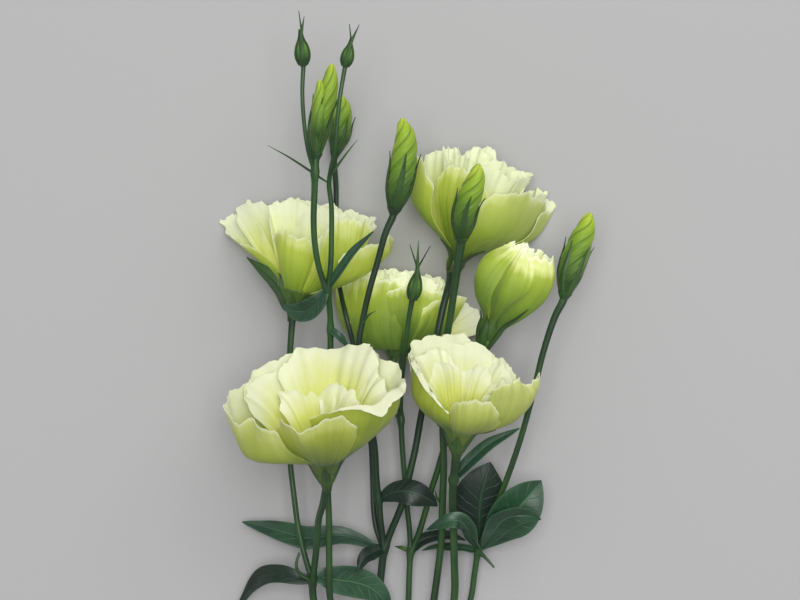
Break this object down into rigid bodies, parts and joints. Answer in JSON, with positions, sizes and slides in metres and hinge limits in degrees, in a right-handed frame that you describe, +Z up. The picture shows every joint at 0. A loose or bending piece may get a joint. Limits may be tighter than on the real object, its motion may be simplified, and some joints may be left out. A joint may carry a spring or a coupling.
{
  "type": "lisianthus flower bunch",
  "caption": "Loose bunch of cut lisianthus stems lying on their side, with ruffled open blooms, rolled buds and narrow leaves on branched stems, for setting on a surface.",
  "frame": {"origin": "the flat underside of the middle stem, near its cut end, on the surface that the bunch lies on", "axes": "+Y from the cut ends towards the flowers, +Z up from the surface, +X to the right seen from above"},
  "size_m": [0.1725, 0.391, 0.1077],
  "materials": {
    "stem_green": "smooth waxy stems and leaves",
    "stem_shade": "smooth waxy stems and leaves, darker",
    "petal_cream": "soft matt petals, cream with green",
    "petal_lime": "soft matt petals, yellow-green",
    "bud_green": "soft matt rolled petals, bright green"
  },
  "bodies": {
    "root": {"stem_a": "stem_green", "stem_b": "stem_green", "stem_c": "stem_shade", "stem_d": "stem_green", "stem_e": "stem_green", "stem_f": "stem_green", "stem_g": "stem_green", "bloom_front_left": "petal_cream", "bloom_front_right": "petal_cream", "bloom_back_left": "petal_lime", "bloom_back_right": "petal_lime", "bloom_middle": "petal_lime", "bloom_half_open": "petal_lime", "bud_tall_left": "bud_green", "bud_low_left": "bud_green", "bud_centre": "bud_green", "bud_front": "bud_green", "bud_right": "bud_green"}
  },
  "joints": []
}
